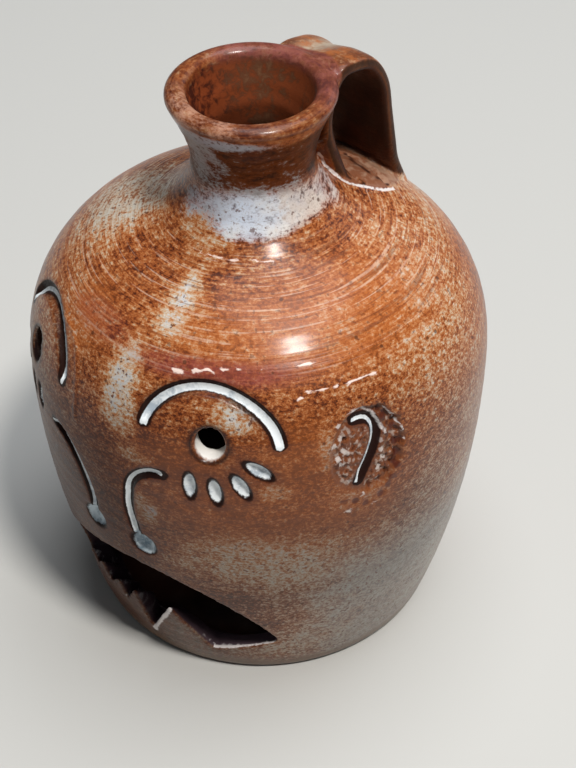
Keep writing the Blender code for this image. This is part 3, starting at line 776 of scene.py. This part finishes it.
# the pools are measured from points set higher, so they sit low in the grooves, and also to the left in the
# wings and hooks, leaving painted shade on the upper and right-hand walls; the pools on the left are
# narrower, as painted shade
sunk = on_wall(turn[front], height[front] + 0.0007)
sunk_left = on_wall(turn[front] + 0.6, height[front] + 0.0002)
for (track, width), scant in zip(tracks, (1.15, 1.9, 1.7, 2.6, 2.1, 2.1)):
    own = on_wall(*np.array(track).T)
    marked[front] = np.minimum(marked[front], near_line(flat, own) / (width / 2))
    near = near_line(sunk if width == brow_width else sunk_left, own) * scant
    pooled[front] = np.minimum(pooled[front], near / (width / 2))
for at, up, long, wide, deep, lean in presses:
    across = np.radians(turn[front] - at) * radius[front]
    rise = height[front] - up
    angle = radians(lean)
    x = across * cos(angle) + rise * sin(angle)
    y = rise * cos(angle) - across * sin(angle)
    near = np.hypot(x / (wide / 2), y / (long / 2))
    marked[front] = np.minimum(marked[front], near)
    low = 0.86 * np.hypot((x + 0.00025) / (wide / 2), (y + 0.0003) / (long / 2))
    if deep == nostril_deep:
        low *= 0.86
        watery[front] = np.maximum(watery[front], ease((1.3 - near) / 0.2))
    pooled[front] = np.minimum(pooled[front], low)
for side in (-1, 1):
    picked = np.flatnonzero((depth < 0.005) & (from_ear(side) < 1.5))
    dip, lift, n = stamped(side, picked)
    heard[picked] = ease((1.04 - n) / 0.08)
    raised[picked] = lift
    for bead, wide, strength in ear_edges:
        traced(lined, front, flat, laid(bead, side), wide, strength)
    for dents, values, size in ((ear_dents, dented, 0.0011), (ear_glint_spots, flecked, 0.0009)):
        for dent in dents:
            near = ((flat - laid([dent], side)) ** 2).sum(1) / size ** 2
            values[front] = np.maximum(values[front], np.exp(-near))
for bead, wide, strength in ridge_highlight_paths:
    turns, rises = np.array(bead).T
    steps_along = np.linspace(turns[0], turns[-1], 40)
    waves = 0.22 * np.sin(steps_along * 1.9) + 0.12 * np.sin(steps_along * 4.3)
    edge = laid(np.stack([steps_along, np.interp(steps_along, turns, rises) + waves], axis=1))
    picked = (np.abs(turn) < 90) & (np.abs(height - rises[0] / 1000) < 0.006) & (np.abs(depth) < 0.002)
    traced(streaked, picked, on_wall(turn[picked], height[picked]), edge, wide, strength)
smeared = np.hypot((out - pad_out) / pad_long, beside / pad_wide)
over = (height > 0.112) & (height < 0.139) & (out > -0.01) & (radius > 0.0178)
padded = (over & (height < 0.131)) * ease((1.0 - smeared) / 0.05) * (1 - strap)
for values, seam, wide in ((rimmed, pad_edge, 0.55), (creased, inner_crease, 0.6),
                           (creased, outer_crease, 0.6)):
    edge = np.array([place(at, up / 1000, far / 1000) for at, far, up in seam])
    traced(values, over, spots[over], edge, wide)
layers = dict(
    veil=veil, milky=milky, plummy=plummy, smoky=smoky, glowing=glowing, inner=inner, cut_face=cut_face,
    lined=lined, socket=socket, ring=ring, marked=marked, heard=heard, raised=raised, strap=strap,
    shaded=shaded, flank=flank, valley=valley, pooled=pooled, watery=watery, toothed=toothed,
    streaked=streaked, padded=padded, rimmed=rimmed, creased=creased, dented=dented, flecked=flecked)
for name, values in layers.items():
    mesh.attributes.new(name, "FLOAT", "POINT").data.foreach_set("value", values.astype(np.float32))

glaze = bpy.data.materials.new("jug_glaze")
glaze.use_nodes = True
tree = glaze.node_tree
shader = tree.nodes["Principled BSDF"]


def tinted(colour):
    # a colour written in thousandths
    return [part / 1000 for part in colour] + [1]


def made(kind, *values, **settings):
    # adds one step to the glaze, sets or links its sockets and returns its result
    node = tree.nodes.new("ShaderNode" + kind)
    for name, value in settings.items():
        setattr(node, name, value)
    for socket, value in zip([socket for socket in node.inputs if socket.enabled], values):
        if isinstance(value, tuple):
            value = tinted(value)
        if isinstance(value, (int, float, list)):
            socket.default_value = value
        else:
            tree.links.new(value, socket)
    return [socket for socket in node.outputs if socket.enabled][0]


def sum_of(kind, *parts):
    total = parts[0]
    for part in parts[1:]:
        total = made("Math", total, part, operation=kind)
    return total


def added(*parts):
    return sum_of("ADD", *parts)


def times(*parts):
    return sum_of("MULTIPLY", *parts)


def spread(value, low, high, *ends):
    # a soft step, from nought to one if no ends are given, while the value goes from low to high
    ends = (0, *(ends or [1]))[-2:]
    return made("MapRange", value, low, high, *ends, interpolation_type="SMOOTHSTEP")


def brushed(share, under, over):
    # one colour brushed over another
    return made("Mix", share, under, over, data_type="RGBA")


def cloudy(at, size, detail=3.0, rough=0.55, twist=0.0):
    # drifting colour with blotches about that many metres across, centred on nought
    return sum_of("SUBTRACT", made("TexNoise", at, 1 / size, detail, rough, 2.0, twist), 0.5)


def kept(name):
    return made("Attribute", attribute_name=name).node.outputs["Fac"]


def dotted(at, size, low, high, share):
    # scattered specks: cell size, speck edge and how many cells have one
    apart = made("TexVoronoi", at, 1 / size)
    chosen = made("SeparateColor", apart.node.outputs["Color"])
    return times(spread(apart, low, high, 1, 0), spread(chosen, 1 - share, 1.02 - share))


where = made("TexCoord").node.outputs["Object"]
x, y, z = made("SeparateXYZ", where).node.outputs
away = sum_of("POWER", added(times(x, x), times(y, y)), 0.5)
across = sum_of("DIVIDE", x, away)
along = sum_of("DIVIDE", y, away)
down_wall = sum_of("SUBTRACT", z, away)
wheel, wheel_short, wheel_long = [made("CombineXYZ", times(across, pull), down_wall, times(along, pull))
                                  for pull in (0.005, 0.016, 0.0016)]
fine = cloudy(made("CombineXYZ", times(x, 0.85), times(y, 0.85), times(z, 1.25)), 0.0009, 4, 0.75, 0.2)
mottle = cloudy(where, 0.0024, 4, 0.65, 0.5)
soft = cloudy(where, 0.009, 3, 0.6)
blotch = cloudy(where, 0.026)
line = cloudy(wheel, 0.0011, 4, 0.7, 0.15)
dash = cloudy(wheel_short, 0.0009, 3, 0.65, 0.3)
band = cloudy(wheel, 0.005, 2, 0.5, 0.15)
thread = cloudy(wheel_long, 0.0011, 1, 0.5, 0.1)
cloud = added(mottle, soft)
grain = added(mottle, fine)
upper = spread(z, 0.098, 0.118)
calm = spread(z, 0.156, 0.1585, 1, 0.45)

body_of = added(0.31, spread(z, 0.114, 0.088, -0.1), times(kept("veil"), 0.56),
                times(fine, calm, added(2.3, times(upper, -0.9))), times(mottle, calm, 0.9),
                times(soft, 0.36), times(blotch, 0.25), times(line, added(0.22, times(upper, 0.85))),
                times(dash, calm, added(0.3, times(upper, 0.25))), times(band, 0.3))
colour = made("ValToRGB", body_of)
stops = colour.node.color_ramp.elements
for place_at, tint in rust_steps:
    stops.new(place_at).color = tinted(tint)
stops.remove(stops[0])
stops.remove(stops[-1])


def coated(colour, *coats):
    # brushes coats over a first colour, each by its own share
    for share, tint in coats:
        colour = brushed(share, colour, tint)
    return colour


# the wheel's threads, the ash and the plum streak over the rust
threaded = times(spread(z, 0.108, 0.116), spread(z, 0.13, 0.1275), spread(cloud, -0.25, 0.1))
grey = added(times(kept("smoky"), 0.62), times(mottle, 0.4))
ashy = brushed(spread(added(body_of, times(fine, 0.8), times(mottle, 0.5)), 0.28, 0.68),
               (75, 46, 33), (430, 385, 325))
colour = coated(
    colour,
    (times(kept("glowing"), 0.45), (500, 140, 28)),
    (times(threaded, spread(thread, 0.11, 0.17, 0.55)), (150, 40, 14)),
    (times(threaded, spread(thread, -0.11, -0.17, 0.55)), (660, 460, 340)),
    (spread(grey, 0, 1, 0.9), ashy),
    (times(kept("smoky"), spread(body_of, 0.5, 0.85, 0.6)), (500, 450, 370)),
    (times(kept("plummy"), spread(added(mottle, line), -0.2, 0.2, 0.45, 0.85)), plum))

# the milky blue round the shoulder and up the neck
thick = added(kept("milky"), times(soft, 0.9), mottle, times(line, 0.8), times(fine, 1.1))
blue = brushed(spread(added(soft, times(across, 0.5)), 0.15, 0.6), milk_blue, (800, 780, 740))
worn = added(times(fine, 1.2), times(mottle, 0.7), times(line, 0.6))
rusty = times(spread(z, *neck_low), spread(z, 0.156, 0.1535),
              spread(added(cloud, times(line, 1.6)), -0.12, 0.2, 0.9))
peppered = spread(added(fine, times(mottle, 0.4)), 0.1, 0.22, 0.8)
blue = coated(
    blue,
    (spread(worn, 0.02, 0.3, 0.7), (250, 200, 180)),
    (spread(z, 0.1385, 0.144, 0.5), (100, 90, 90)),
    (spread(added(across, times(soft, 0.5)), 0.45, 0, 0.5), (160, 150, 160)),
    (spread(added(across, times(mottle, 0.6)), 0.82, 1, 0.38), (520, 360, 260)),
    (rusty, (75, 26, 13)),
    (times(peppered, spread(z, 0.152, 0.1545)), (50, 16, 10)))
neck_streak = added(times(line, 1.4), soft, times(mottle, 0.6), times(kept("milky"), 0.75))
neck = brushed(spread(neck_streak, -0.3, 0.12), (14, 4, 2), (88, 18, 2))
neck = brushed(spread(added(neck_streak, times(fine, 0.9)), 0.15, 0.6), neck, (300, 310, 320))
on_neck = times(spread(z, *neck_low), spread(z, 0.1574, 0.1552), spread(kept("milky"), 0.5, 1, 0.92, 0.35))
colour = coated(colour, (spread(thick, 0.36, 0.95, 0.92), blue), (on_neck, neck))

# painted shade low on the body, on the left, in a band low on the front and under the mouth, a grey
# wash low on the right, and the worn lip with a painted highlight along its front
low_front = spread(along, 0.2, -0.3)
# painted shade: darker low down, most at the front, darker still on the left front and in a band low down
shade = times(spread(z, 0.119, 0.088, 0.34), spread(along, -0.35, 0.2, 1, 0.35))
leftward = added(across, times(soft, 0.3))
left_shade = times(spread(z, 0.106, 0.08), spread(leftward, 0.48, -0.05, 0.44), low_front)
low_band_shade = times(spread(z, 0.08, 0.066), spread(z, 0.026, 0.042), spread(along, 0.3, -0.1), 0.26)
ash_grey = times(spread(z, 0.064, 0.04), spread(leftward, 0.74, 0.95), 0.42)
lip_shade = times(spread(z, 0.1588, 0.1602), spread(cloud, -0.15, 0.2, 0.62, 0.36))
# a painted highlight along the front of the lip, in peach flecks
lip_front_highlight = times(spread(z, 0.1592, 0.1606), spread(along, -0.45, -0.85),
                  spread(added(soft, times(dash, 0.8)), -0.15, 0.2, 0.5))
lip_spots = times(spread(z, 0.156, 0.158), spread(along, -0.2, -0.6),
                  spread(added(fine, times(mottle, 0.3)), 0.16, 0.26, 0.8))
lip_back = times(spread(z, 0.1585, 0.1608), spread(along, 0, 0.6), spread(cloud, -0.2, 0.2, 0.25, 0.7))
# painted shade under the mouth, mottled
chin_shade = times(spread(z, 0.036, 0.022), spread(across, 0.75, 0.34, 0.55), low_front)
specks = spread(cloudy(where, 0.0012, 2, 0.5), 0.11, 0.18)
large_dots = dotted(where, 0.0046, 0.08, 0.15, 0.22)
specked = added(0.5, times(kept("veil"), 0.35), times(kept("milky"), 0.2), times(kept("smoky"), 0.2))
colour = coated(
    colour,
    (shade, (45, 11, 3)), (left_shade, (24, 6, 4)), (low_band_shade, (20, 16, 13)),
    (ash_grey, (210, 262, 268)), (lip_shade, (40, 6, 4)), (lip_front_highlight, (600, 350, 250)),
    (lip_spots, (30, 8, 6)), (lip_back, (240, 75, 70)),
    (times(chin_shade, added(1, times(mottle, 2.6))), (22, 6, 4)),
    (times(specks, specked), (105, 30, 12)), (times(large_dots, 0.75), iron))

# the ears: raised bits pale, as pale glaze with painted highlight, dark dents, and small painted
# highlights on the blobs
ear_lift = added(kept("raised"), times(mottle, 0.7), times(fine, 0.8))
eared = brushed(spread(ear_lift, 0.14, 0.42, 0.75), (175, 55, 22), (500, 430, 380))
eared = brushed(spread(ear_lift, -0.12, -0.36), eared, (50, 14, 9))
dent_share = spread(added(kept("dented"), times(fine, 0.5)), 0.25, 0.6, 0.85)
ear_glint_share = spread(added(kept("flecked"), fine, times(mottle, 0.6)), 0.35, 0.7, 0.9)
colour = coated(
    colour,
    (times(kept("heard"), 0.72), eared), (dent_share, (85, 18, 10)),
    (ear_glint_share, (620, 540, 500)),
    (spread(kept("raised"), -0.3, -0.8, 0.8), (80, 22, 12)))

# the pools in the grooves, pale glaze with painted reflection, and their dark edges, dark glaze with
# painted shade on the upper and right-hand walls
mark = added(kept("marked"), times(fine, 0.16))
edge_shade_and_dark_glaze = spread(mark, 1.26, 1.02)
pool_and_reflection_share = added(kept("pooled"), times(fine, 0.24), times(mottle, 0.16))
pool_and_reflection_colour = brushed(spread(cloud, -0.05, 0.28, 0.85), pool_glaze_and_reflection, (360, 430, 500))
# the nostrils' blue-grey pools, with painted glints
nostril_pool_and_glints = brushed(spread(cloud, -0.18, 0.2), (160, 230, 290), (620, 700, 750))
colour = coated(
    colour,
    (spread(mark, 2.1, 1.15, 0.5), (85, 20, 9)), (times(edge_shade_and_dark_glaze, 0.97), dark_glaze_and_shade),
    (spread(pool_and_reflection_share, 0.72, 0.6), brushed(kept("watery"), pool_and_reflection_colour, nostril_pool_and_glints)), (times(kept("ring"), 0.9), dark_glaze_and_shade))

# the strap
leather = brushed(spread(added(soft, times(mottle, 0.7)), -0.15, 0.15),
                  (360, 110, 30), (130, 36, 14))
inner_strap = brushed(spread(soft, -0.1, 0.2), (22, 10, 8), (60, 18, 9))
leather = coated(
    leather,
    (spread(grain, 0, 0.3, 0.7), (500, 260, 130)),
    (times(kept("valley"), spread(cloud, -0.25, 0.15, 0.2, 0.95)), (470, 370, 270)),
    (times(kept("flank"), 0.9), (30, 17, 12)),
    (times(kept("shaded"), 0.95), inner_strap))

# the throat and the dark inside
dark = brushed(spread(blotch, -0.1, 0.12), (60, 22, 14), (22, 11, 9))
throat_glaze = brushed(spread(cloud, -0.14, 0.14), (200, 44, 14), (45, 10, 6))
ashen = times(spread(x, 0.009, 0.016), spread(z, 0.15, 0.155), spread(cloud, -0.15, 0.15, 0.1, 0.75))
# the throat's glaze, painted darker lower down as shade
throat_glaze = coated(
    throat_glaze,
    (times(spread(y, -0.002, 0.012), spread(cloud, -0.1, 0.25, 0.1, 0.7)), (230, 105, 50)),
    (spread(added(z, times(soft, 0.01)), 0.152, 0.144, 0.6), (12, 4, 3)),
    (times(spread(z, 0.1585, 0.1625), spread(y, -0.004, 0.01), 0.7), (165, 55, 55)),
    (ashen, (270, 250, 250)))
dark = brushed(spread(z, 0.12, 0.137), dark, throat_glaze)

# the cuts painted lighter on the right as lit, the teeth, the smeared clay, pale glaze with painted
# highlights on the edges, and painted highlight lines on the ridges
# the cut faces are painted lighter to the right, as lit, and darker to the left, as shaded
cut_face_lit_right = brushed(spread(across, 0.2, 0.5), (40, 23, 29), (100, 66, 80))
# pale spots on the left teeth, partly pale glaze and partly painted highlights on their tops
teeth_pale_and_highlight = times(kept("toothed"), spread(added(mottle, times(soft, 0.8)), -0.02, 0.2, 0.85))
smear = brushed(spread(cloud, -0.12, 0.16), (240, 90, 45), (380, 215, 140))
# pale glaze with painted highlights along the edges
edge_glaze_and_highlight = spread(added(times(kept("lined"), 0.9), kept("rimmed"), times(mottle, 0.7), times(fine, 0.6)),
                0.3, 0.75)
# painted highlight lines on the ridges
ridge_highlight_share = spread(added(kept("streaked"), times(dash, 0.8), times(mottle, 0.7)), 0.4, 0.7)
foot = spread(added(z, times(soft, 0.004)), 0.0065, 0.003)
colour = coated(
    colour,
    (kept("strap"), leather), (kept("inner"), dark), (kept("socket"), socket_light_cream), (kept("cut_face"), cut_face_lit_right),
    (teeth_pale_and_highlight, (400, 380, 380)), (kept("padded"), smear),
    (spread(kept("creased"), 0.15, 0.7, 0.9), (50, 15, 9)),
    (times(edge_glaze_and_highlight, 0.95), (780, 720, 700)), (ridge_highlight_share, (880, 700, 620)),
    (times(foot, 0.8), (170, 110, 75)))
dull = added(times(edge_shade_and_dark_glaze, spread(pool_and_reflection_share, 0.6, 0.72)), kept("flank"), kept("shaded"),
             times(spread(z, 0.139, 0.142), spread(z, 0.159, 0.156), 0.7),
             times(spread(z, 0.11, 0.08), spread(across, 0.45, 0), spread(along, 0.1, -0.3), 0.75))
rise = added(times(thread, threaded, 2), times(line, 0.75), times(fine, 0.3), times(mottle, 0.35),
             times(large_dots, -0.25), times(kept("streaked"), 0.8), times(kept("rimmed"), 1.2),
             times(kept("creased"), -1.5))
bump = made("Bump", 0.4, 0.0003)
tree.links.new(rise, bump.node.inputs["Height"])
for name, value in (("Base Color", colour), ("Roughness", spread(grain, -0.4, 0.4, 0.26, 0.44)),
                    ("Coat Weight", spread(dull, 0, 1, 0.27, 0.05)),
                    ("Specular IOR Level", spread(dull, 0, 1, 0.16, 0.05)), ("Normal", bump)):
    tree.links.new(value, shader.inputs[name])
shader.inputs["Coat Roughness"].default_value = 0.17
shader.inputs["IOR"].default_value = 1.5
body.data.materials.clear()
body.data.materials.append(glaze)
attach(body, "root")
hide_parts("face_jug")

# The studio: a plain pale floor, one soft lamp high on the right and a bright room, seen from the
# height of someone standing at the table.
bpy.ops.mesh.primitive_plane_add(size=6, location=(0, 0, 0))
floor = bpy.context.object
floor.name = "studio_floor"
paper = bpy.data.materials.new("studio_paper")
paper.use_nodes = True
pale = paper.node_tree.nodes["Principled BSDF"].inputs
pale["Base Color"].default_value = (0.58, 0.575, 0.55, 1)
pale["Roughness"].default_value = 0.9
floor.data.materials.append(paper)

room = bpy.data.worlds.new("studio_room")
room.use_nodes = True
sky = room.node_tree.nodes["Background"].inputs
sky["Color"].default_value = (0.86, 0.93, 1.0, 1)
sky["Strength"].default_value = 0.1
bpy.context.scene.world = room
lamp_aim = 0.1


def lamp(name, toward, distance, size, power, tint):
    # a round lamp that faces the jug from one direction
    light = bpy.data.lights.new(name, "AREA")
    light.shape = "DISK"
    light.size = size
    light.energy = power
    light.color = tint
    holder = bpy.data.objects.new(name, light)
    bpy.context.collection.objects.link(holder)
    toward = Vector(toward).normalized()
    holder.location = toward * distance + Vector((0, 0, lamp_aim))
    holder.rotation_euler = toward.to_track_quat("Z", "Y").to_euler()


lamp("window_high", (0.44, -0.13, 0.887), 1.5, 0.26, 19, (1.0, 0.97, 0.93))
lamp("sky_above", (0.02, 0.2, 0.98), 1.7, 1.3, 17, (0.93, 0.96, 1.0))
lamp("sky_behind", (0.2, 0.9, 0.5), 2.2, 1.6, 5, (0.9, 0.95, 1.0))

eye_point = bpy.data.cameras.new("photo_camera")
eye_point.lens = 80.06
eye_point.sensor_width = 36.0
eye_point.clip_start = 0.01
viewer = bpy.data.objects.new("photo_camera", eye_point)
viewer.matrix_world = Matrix(((0.7651, -0.423677, 0.484891, 0.240122),
                              (0.643774, 0.518843, -0.562456, -0.266683),
                              (-0.013282, 0.742496, 0.669719, 0.387163),
                              (0, 0, 0, 1)))
bpy.context.collection.objects.link(viewer)
bpy.context.scene.camera = viewer
bpy.context.scene.view_settings.view_transform = "Standard"

for leftover in ("Cube", "Light", "Camera"):
    if leftover in bpy.data.objects:
        bpy.data.objects.remove(bpy.data.objects[leftover])
